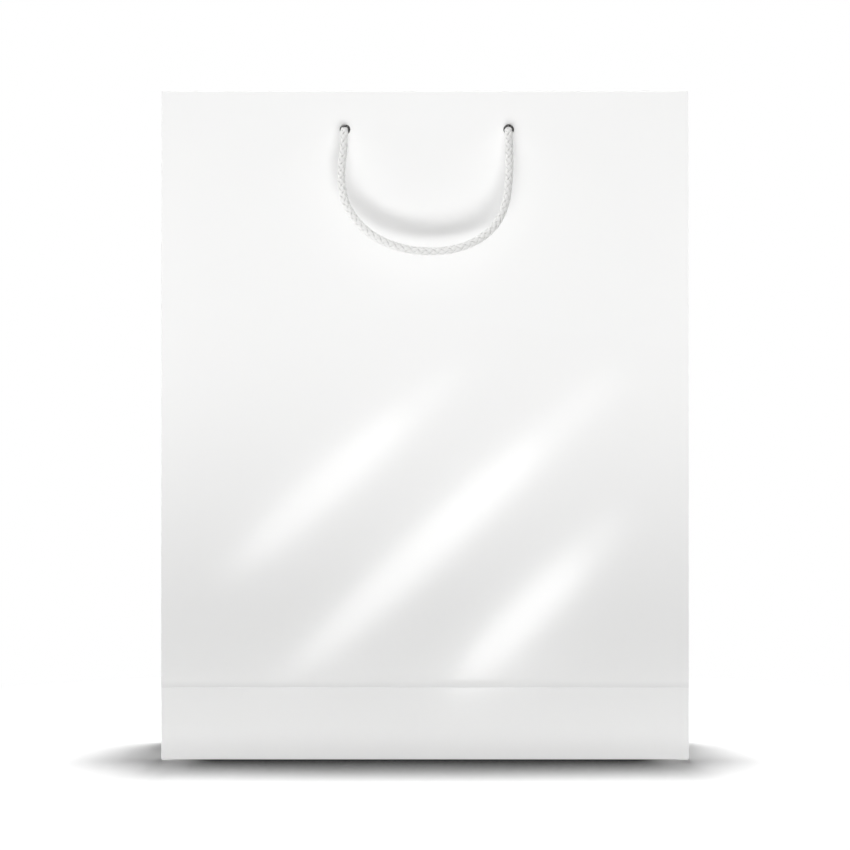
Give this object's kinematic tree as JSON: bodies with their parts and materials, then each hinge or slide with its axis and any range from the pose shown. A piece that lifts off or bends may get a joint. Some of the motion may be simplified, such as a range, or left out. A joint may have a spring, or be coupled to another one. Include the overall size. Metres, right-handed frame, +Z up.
{
  "type": "paper carrier bag",
  "caption": "Upright gusseted paper carrier bag with a turned-in rim, a folded base and a knotted cord handle on each wide panel, for carrying goods by hand.",
  "frame": {"origin": "middle of the base, on the surface that the bag stands on", "axes": "+Z up to the rim, +X to the right along the wide panels, +Y from the front panel to the back panel"},
  "size_m": [0.32, 0.1366, 0.406],
  "materials": {
    "laminated_paper": "gloss",
    "card": "matte",
    "cord": "matte"
  },
  "bodies": {
    "root": {"paper_body": "laminated_paper", "base_card": "card", "front_rim_card": "card", "back_rim_card": "card", "front_handle_cord": "cord", "back_handle_cord": "cord", "front_left_knot": "cord", "front_right_knot": "cord", "back_left_knot": "cord", "back_right_knot": "cord"}
  },
  "joints": []
}
